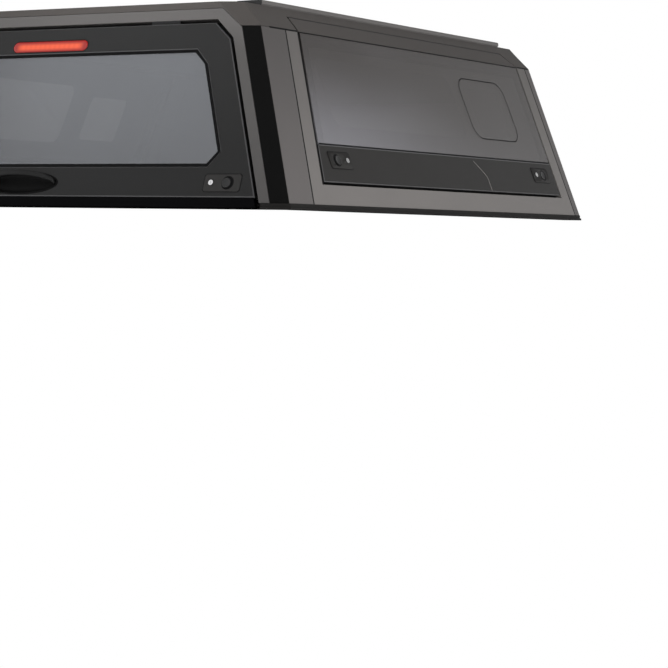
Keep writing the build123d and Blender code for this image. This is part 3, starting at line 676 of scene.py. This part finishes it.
# %% Round the edges of the CAD pieces
edge_rounds = {
    1.5: ["corner_strips"],
    1.2: [
        "side_frames", "rear_corner_posts", "rear_frame", "roof_panel", "front_panel",
        "front_corner_trims", "rail_end_caps", "base_seal",
    ],
    1.0: ["hatch_frame", "side_door_frame_right", "side_door_frame_left"],
    0.8: ["side_door_panel_right", "side_door_panel_left", "roof_rails"],
    0.6: [
        "hatch_glass", "side_door_glass_right", "side_door_glass_left", "side_vent_pane_right",
        "side_vent_pane_left",
    ],
    0.4: ["hatch_key_barrels", "side_key_barrels_right", "side_key_barrels_left"],
    0.3: ["hinges"],
}
highlight_edge_sides = {
    "hatch_frame": rear_out,
    "side_door_panel_right": right_out,
    "side_door_panel_left": left_out,
}
softened = {}
for width, names in edge_rounds.items():
    for name in names:
        softened[name] = soften(name, width, outwards=highlight_edge_sides.get(name))
print("Softened pieces:", len(softened))

# %% [markdown]
# # Pieces with a shade of their own
# Panels that share a paint don't share a tone, because each one faces another way. The same paint
# would do for all of them outdoors, but the studio's light is too even for that. So a few pieces
# get a darker copy of it, which is painted shade, and the hatch's lip and the front window their
# own finish.

# %% Own finishes
own_finish = {
    "rear_corner_posts": "post_shaded_paint",
    "front_corner_trims": "front_shaded_paint",
    "rear_frame": "rear_shaded_paint",
    "roof_panel": "roof_shaded_paint",
    "side_door_flange_right": "roof_shaded_paint",
    "side_door_flange_left": "roof_shaded_paint",
    "hatch_lower_seal": "lip_rubber",
    "front_window_glass": "front_glass",
}
for name, finish_name in own_finish.items():
    shown = softened.get(name, frame["nodes"][name])
    shown.data.materials[0] = finishes[finish_name]
print("Pieces with their own finish:", len(own_finish))

# %% [markdown]
# # Rings of points
# The bowl, the lens and the buttons on the walls are all round, each in its own way. A primitive
# would have to be bent and scaled into each of them. A stack of rings fits them all: a list of
# pairs says how wide each ring is and how high it lies, as a turner's profile does, and
# neighbouring rings are joined by faces.


def draw(name, form, wall, finish_name, mirrored):
    """Makes an object from a bmesh that was drawn flat, and puts it on a wall."""
    form.transform(wall)
    if mirrored:
        form.transform(Matrix.Scale(-1, 4, (1, 0, 0)))
    bmesh.ops.recalc_face_normals(form, faces=form.faces)
    mesh = bpy.data.meshes.new(name)
    form.to_mesh(mesh)
    form.free()
    mesh.materials.append(finishes[finish_name])
    piece = bpy.data.objects.new(name, mesh)
    scene.collection.objects.link(piece)
    return piece


def hang(name, form, wall, finish_name, body, stands_for=(), mirrored=False):
    """Draws a piece on a wall, and lets it ride on a body."""
    piece = draw(name, form, wall, finish_name, mirrored)
    piece.data.shade_smooth()
    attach(piece, body)
    if stands_for:
        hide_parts(*stands_for)
    return piece


def stack(form, rings):
    """Joins closed rings of points, one inside or above the other, and closes both ends."""
    rows = [[form.verts.new(point) for point in ring] for ring in rings]
    for outer, inner in zip(rows, rows[1:]):
        for step in range(len(outer)):
            form.faces.new((outer[step], outer[step - 1], inner[step - 1], inner[step]))
    form.faces.new(rows[0])
    form.faces.new(reversed(rows[-1]))


def oval(across, up, half_width, half_height, z, count=96):
    turns = [2 * pi * step / count for step in range(count)]
    return [(across + half_width * cos(turn), up + half_height * sin(turn), z) for turn in turns]


def slot_ring(up, straight, radius, z, count=32):
    """A ring with two straight sides and two round ends."""
    ends = [(side, pi * (step / (count - 1) - 0.5)) for side in (1, -1) for step in range(count)]
    ring = []
    for side, turn in ends:
        ring.append((side * (straight + radius * cos(turn)), up + side * radius * sin(turn), z))
    return ring


print("Points in an oval:", len(oval(0, 0, 1, 1, 0)), "in a slot:", len(slot_ring(0, 1, 1, 0)))

# %% [markdown]
# # The handle's bowl
# The handle is a moulded oval bowl, sunk in the hatch, with an arched grip over its upper half for
# the fingers. The CAD solid has straight steps where the real one is round. Each ring of this bowl
# is a little smaller and deeper than the last, after a rounded lip that lies on the hatch.

# %% Bowl
handle_up = 68.5 * mm
handle_half = (125 * mm, 29.5 * mm)
bowl_profile = [
    (-0.3, -13.8), (-0.3, 0.1), (3.2, 0.1), (3.6, 0.6), (3.3, 1.3), (2.4, 1.8), (1.2, 1.9),
    (0.0, 1.5), (-1.0, 0.6), (-1.8, -1.0), (-2.6, -4.0), (-4.2, -8.0), (-7.5, -11.2),
    (-12.5, -12.8), (-19.0, -13.3),
]
bowl_rings = []
for grow, z in bowl_profile:
    half_width, half_height = handle_half[0] + grow * mm, handle_half[1] + grow * mm
    bowl_rings.append(oval(0, handle_up, half_width, half_height, z * mm))
bowl = bmesh.new()
stack(bowl, bowl_rings)
# The bowl's black finish is painted shade under the grip.
hang("hatch_handle_bowl", bowl, rear_wall, "bowl_shade_plastic", "rear_hatch", ["hatch_handle"])
print("Bowl:", round(2 * handle_half[0] / mm), "mm wide")

# %% [markdown]
# # The handle's grip
# The grip thins and dips towards its ends, where it runs into the bowl. A bent tube would have the
# same section all along. Here a function works out the section at each place, a ring with blunt
# corners, and the stack joins the sections as it joins other rings.

# %% Grip
grip_half, grip_rise = 117 * mm, 21.5 * mm
grip_steps, ring_steps = 30, 24
thin_from, thin_over = 0.72, 0.24
end_height, arch_height, grip_depth, sunk = 5.5, 18, 9.5, -12.5
half_grip, thinner_by = 7.0, 1.2


def blunt(share):
    """Pushes a point of a circle out, towards the square round it."""
    return copysign(abs(share) ** 0.6, share)


def grip_section(reach):
    """The grip's section at a place from -1 to 1 along it, as a ring of points."""
    fade = min(max((abs(reach) - thin_from) / thin_over, 0), 1)
    fade = fade * fade * (3 - 2 * fade)
    arch = max(1 - reach * reach, 0)
    middle_up = handle_up + grip_rise * sqrt(arch)
    top = (end_height + arch_height * arch) * mm
    foot = (1 - fade) * (top - grip_depth * mm) + fade * sunk * mm
    half_wide = (half_grip - thinner_by * fade) * mm
    ring = []
    for step in range(ring_steps):
        turn = 2 * pi * step / ring_steps
        z = (top + foot) / 2 + (top - foot) / 2 * blunt(sin(turn))
        ring.append((reach * grip_half, middle_up + half_wide * blunt(cos(turn)), z))
    return ring


grip_range = range(-grip_steps, grip_steps + 1)
grip = bmesh.new()
stack(grip, [grip_section(sin(pi / 2 * step / grip_steps)) for step in grip_range])
hang("hatch_handle_grip", grip, rear_wall, "grip_plastic", "rear_hatch")
print("Grip:", len(grip_range), "sections")

# %% [markdown]
# # The brake light
# A long red lens sits in a black bezel above the glass. It is slightly domed, so it mirrors the
# surroundings in a soft line. Rings with straight sides and round ends give both pieces, and the
# glow is in the lens's finish.

# %% Bezel and lens
brake_up, brake_straight = 456 * mm, 108 * mm
bezel_profile = [
    (18.0, -11.6), (18.0, 0.0), (17.6, 0.9), (16.8, 1.2), (15.9, 0.9), (15.4, 0.0), (15.3, -5.6),
]
lens_profile = [
    (14.9, -5.4), (14.9, 0.4), (14.5, 1.1), (13.4, 1.6), (11.0, 1.85), (7.0, 1.97), (3.0, 2.0),
]
brake_jobs = [
    ("brake_light_bezel", bezel_profile, "trim_plastic", "brake_light_housing"),
    ("brake_light_dome", lens_profile, "brake_lens", "brake_light_lens"),
]
for name, profile, finish_name, node_name in brake_jobs:
    form = bmesh.new()
    stack(form, [slot_ring(brake_up, brake_straight, radius * mm, z * mm) for radius, z in profile])
    hang(name, form, rear_wall, finish_name, "rear_hatch", [node_name])
print("Bezel:", round(2 * (brake_straight / mm + bezel_profile[0][0])), "mm wide")

# %% [markdown]
# # Locks
# Each lock is a plate with a chrome key barrel and a round push button, and a dish beside the
# button makes room for the finger. The plate and the barrel are the CAD solids. A dish could be
# pressed into the plate's mesh point by point, but its edge would be ragged. A Boolean modifier
# cuts it out of the plate with a clean edge.

# %% Plates with a finger dish
button_shift, dish_shift, dish_radius, dish_depth = 12.5, 16.5, 18.0, 1.3
plate_top, plate_round = 1.5, 0.5
hatch_locks = [(639.6, 68.5, 1, "hatch_button_right"), (-639.6, 68.5, -1, "hatch_button_left")]
door_locks = [(-523.6, 143.0, -1, "side_button_rear"), (667.1, 143.0, 1, "side_button_front")]
dish_profile = [
    (dish_radius + 2, plate_top + 1),
    (dish_radius, plate_top),
    (dish_radius - 3, plate_top - dish_depth),
]


def dish_cutters(locks, wall, mirrored):
    """The solids to take out of a wall's plates. Way is the plate's side that has the button."""
    cutters = []
    for across, up, way, name in locks:
        middle = (across + way * dish_shift) * mm
        form = bmesh.new()
        stack(form, [oval(middle, up * mm, r * mm, r * mm, z * mm, 64) for r, z in dish_profile])
        # The cut faces of the dish take this black finish: painted shade in the dish.
        cutters.append(draw("dish_" + name, form, wall, "bowl_shade_plastic", mirrored))
    return cutters


plate_jobs = [
    ("hatch_lock_plates", hatch_locks, rear_wall, False),
    ("side_lock_plates_right", door_locks, right_wall, False),
    ("side_lock_plates_left", door_locks, right_wall, True),
]
for name, locks, wall, mirrored in plate_jobs:
    cutters = dish_cutters(locks, wall, mirrored)
    plate = soften(name, plate_round, cutters=cutters)
    plate.data.materials[0] = finishes["plate_plastic"]
    for cutter in cutters:
        bpy.data.objects.remove(cutter)
print("Lock plates:", len(plate_jobs), "pairs")

# %% [markdown]
# # Push buttons
# A push button has a rounded rim and a slightly hollow face, which holds the fingertip. A cylinder
# would be flat and sharp. A stack of circles gives the rim and the hollow, and each cap rides on
# its own button, so that it goes in when the button is pushed.

# %% Buttons
button_profile = [
    (13.0, -6.0), (13.0, 2.1), (12.7, 2.7), (12.1, 3.0), (11.2, 3.0), (10.3, 2.7), (8.0, 2.3),
    (4.0, 2.05), (1.0, 2.0),
]


def push_button(name, across, up, way, wall, body, mirrored=False):
    form = bmesh.new()
    middle = (across + way * button_shift) * mm
    stack(form, [oval(middle, up * mm, r * mm, r * mm, z * mm, 48) for r, z in button_profile])
    return hang(name + "_cap", form, wall, "button_plastic", body, [name], mirrored)


buttons = []
for across, up, way, name in hatch_locks:
    buttons.append(push_button(name, across, up, way, rear_wall, frame["nodes"][name]["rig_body"]))
for across, up, way, name in door_locks:
    for side, mirrored in sides:
        node = f"{name}_{side}"
        body = frame["nodes"][node]["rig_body"]
        buttons.append(push_button(node, across, up, way, right_wall, body, mirrored))
print("Push buttons:", len(buttons))

# %% [markdown]
# # Printed borders behind the glass
# Glass that is glued to a frame has a black border printed on its inner face, which hides the glue.
# Through the rear glass the clear parts of the left door's panes show as two paler shapes, so these
# borders matter to the view. A border could be part of the glass's finish, but its edge would be
# soft. A flat curve with holes in it makes a sheet with sharp edges at once, and its extrusion
# gives it a thickness.

# %% Borders on the doors' panes
def cut_sheet(name, outlines, z, thickness, wall, finish_name, body, mirrored=False):
    """A flat sheet from closed outlines in millimetres. Those after the first are its holes."""
    curve = bpy.data.curves.new(name, "CURVE")
    curve.dimensions = "2D"
    curve.fill_mode = "BOTH"
    curve.extrude = thickness / 2 * mm
    for outline in outlines:
        spline = curve.splines.new("POLY")
        spline.points.add(len(outline) - 1)
        for point, (across, up) in zip(spline.points, outline):
            point.co = (across * mm, up * mm, 0, 1)
        spline.use_cyclic_u = True
    flat = bpy.data.objects.new(name, curve)
    scene.collection.objects.link(flat)
    bpy.context.view_layer.update()
    done = flat.evaluated_get(bpy.context.evaluated_depsgraph_get())
    mesh = bpy.data.meshes.new_from_object(done)
    bpy.data.objects.remove(flat)
    form = bmesh.new()
    form.from_mesh(mesh)
    form.transform(Matrix.Translation((0, 0, z * mm)))
    return hang(name, form, wall, finish_name, body, mirrored=mirrored)


def rounded(left, low, right, high, radius, count=6):
    """The outline of a rectangle with round corners."""
    outline = []
    corners = [
        (right - radius, high - radius), (left + radius, high - radius),
        (left + radius, low + radius), (right - radius, low + radius),
    ]
    for number, (across, up) in enumerate(corners):
        for step in range(count + 1):
            turn = pi / 2 * (number + step / count)
            outline.append((across + radius * cos(turn), up + radius * sin(turn)))
    return outline


sheet_thickness, border_z = 0.3, -5.4
pane_outline = [(-564.5, 186.8), (720.7, 186.8), (731.1, 467.4), (-472.6, 467.4)]
clear_rear = rounded(-470, 245, 280, 440, 30)
clear_vent = rounded(385, 262, 575, 410, 14)
for side, mirrored in sides:
    cut_sheet(
        f"door_glass_border_{side}", [pane_outline, clear_rear, clear_vent], border_z,
        sheet_thickness, right_wall, "glass_seal", f"side_door_{side}", mirrored,
    )
print("Borders:", len(sides))

# %% [markdown]
# # The lip of the rear glass
# The rear glass sits in a rubber lip, which draws a dark line inside the edge of its opening. The
# seal of the CAD model lies too deep to show. A ring cut from a thin sheet lies just above the
# glass, and its two outlines are the opening's own, drawn in by a few millimetres.

# %% Lip
opening_half = [(581.9, 113), (612.9, 154), (517.2, 393), (476.2, 434)]
# How far the end corners, and those between them, move sideways for each millimetre drawn in
slant_share, aside_share = 0.4245, 1.0864


def glass_edge(inset):
    """The outline of the rear glass, drawn in from its opening."""
    slant, aside = inset * slant_share, inset * aside_share
    moves = [(-slant, inset), (-aside, 0), (-aside, 0), (-slant, -inset)]
    half = [(x + move_x, y + move_y) for (x, y), (move_x, move_y) in zip(opening_half, moves)]
    return half + [(-x, y) for x, y in reversed(half)]


lip_outer, lip_inner, lip_z = 3.6, 8.2, -1.9
cut_sheet(
    "hatch_glass_lip", [glass_edge(lip_outer), glass_edge(lip_inner)], lip_z, sheet_thickness,
    rear_wall, "glass_seal", "rear_hatch",
)
print("Lip:", round(lip_inner - lip_outer, 1), "mm wide")

# %% [markdown]
# Painted shadow round the lock plates
# A thin black sheet lies behind each lock plate, and its edge draws a dark line round the plate: a
# painted shadow, for the plate's own shadow alone would be too faint for that. It is the same kind
# of sheet, cut a little larger than the plate, with a hole for the button.

# %% Painted shadows round the plates
plate_half, plate_cut, plate_shadow_edge, button_hole = (54.0, 23.0), 5.0, 1.6, 15.0


def plate_shadow_outlines(across, up, way):
    """The edge of a plate's painted shadow, and its hole for the button."""
    half_wide, half_tall = plate_half[0] + plate_shadow_edge, plate_half[1] + plate_shadow_edge
    corners = [
        (half_wide - plate_cut, -half_tall), (half_wide, plate_cut - half_tall),
        (half_wide, half_tall - plate_cut), (half_wide - plate_cut, half_tall),
    ]
    corners += [(-x, y) for x, y in reversed(corners)]
    middle = across + way * button_shift
    hole = [(x, y) for x, y, z in oval(middle, up, button_hole, button_hole, 0, 32)]
    return [[(across + x, up + y) for x, y in corners], hole]


plate_shadow_z, plate_shadow_thickness = 0.1, 0.5
plate_shadows = []
for across, up, way, name in hatch_locks:
    plate_shadows.append((f"gasket_{name}", across, up, way, rear_wall, "rear_hatch", False))
for across, up, way, name in door_locks:
    for side, mirrored in sides:
        title, body = f"gasket_{name}_{side}", f"side_door_{side}"
        plate_shadows.append((title, across, up, way, right_wall, body, mirrored))
for name, across, up, way, wall, body, mirrored in plate_shadows:
    outlines = plate_shadow_outlines(across, up, way)
    cut_sheet(name, outlines, plate_shadow_z, plate_shadow_thickness, wall, "glass_seal", body, mirrored)
print("Gaskets:", len(plate_shadows))

# %% [markdown]
# # The line on the door's panel
# A slim raised line runs down the dark panel of each side door and bends. Its pale paint is a
# painted highlight, the light that the line catches. A curve with a round section would look like a
# wire laid on it. This strip has a flat top and sloping sides, and it follows a few points.

# %% Raised line
def raised_line(name, points, half_foot, half_top, height, wall, finish_name, body, mirrored):
    """A strip along points on a wall, with all its measures in millimetres."""
    form = bmesh.new()
    spots = [Vector((across * mm, up * mm)) for across, up in points]
    section = [(half_foot, -0.1), (half_top, height), (-half_top, height), (-half_foot, -0.1)]
    rings = []
    for number, spot in enumerate(spots):
        before = spots[max(number - 1, 0)]
        after = spots[min(number + 1, len(spots) - 1)]
        run = (after - before).normalized()
        aside = Vector((-run.y, run.x))
        rings.append([(*(spot + aside * off * mm), z * mm) for off, z in section])
    stack(form, rings)
    piece = hang(name, form, wall, finish_name, body, mirrored=mirrored)
    piece.data.shade_flat()
    return piece


line_points = [(247.5, 173), (289, 138), (299.5, 127), (302, 118), (301.5, 83)]
line_foot, line_top, line_height = 1.6, 0.9, 0.7
# The line takes the pale body paint: a painted highlight on the dark panel.
for side, mirrored in sides:
    raised_line(
        f"door_panel_highlight_line_{side}", line_points, line_foot, line_top, line_height, right_wall,
        "body_paint", f"side_door_{side}", mirrored,
    )
print("Raised lines:", len(sides))

# %% [markdown]
# # Beads in the seams
# Where two fixed panels meet, the gap is filled with a flexible black bead, which shows as a thin
# dark line. Beads also lie along the top of each door, and between its glass and its panel. A paler
# strip along the panel's upper edge is a painted highlight, the light that this edge catches. The
# strip of the raised line serves for all of them, only flatter.

# %% Seam beads
bead_height = 0.15
seams = {
    "post": [(-731.2, 15.8), (-570.9, 507.6)],
    "trim": [(816.6, 15.8), (834.8, 507.6)],
    "top": [(-648, 508.1), (-512, 508.1)],
    "front_top": [(783, 508.1), (862, 508.1)],
    "opening": [(-653.1, 72), (-511.7, 506)],
}
beads = []
for title, points in seams.items():
    beads.append((f"seam_{title}", points, 2.6, 2.2, "glass_seal", "canopy"))
beads += [
    ("pane_bead", [(-604.5, 187.8), (761, 187.8)], 1.7, 1.4, "glass_seal", "side_door"),
    # A paler strip along the panel's upper edge: a painted highlight.
    ("panel_edge", [(-605.5, 183.4), (761, 183.4)], 1.2, 0.9, "edge_highlight_paint", "side_door"),
    ("top_bead", [(-500.4, 506.3), (772.6, 506.3)], 1.8, 1.5, "glass_seal", "side_door"),
]
for title, points, half_foot, half_top, finish_name, carrier in beads:
    for side, mirrored in sides:
        body = carrier if carrier == "canopy" else f"{carrier}_{side}"
        raised_line(
            f"{title}_{side}", points, half_foot, half_top, bead_height, right_wall, finish_name,
            body, mirrored,
        )
print("Seam beads:", len(sides) * len(beads))

# %% [markdown]
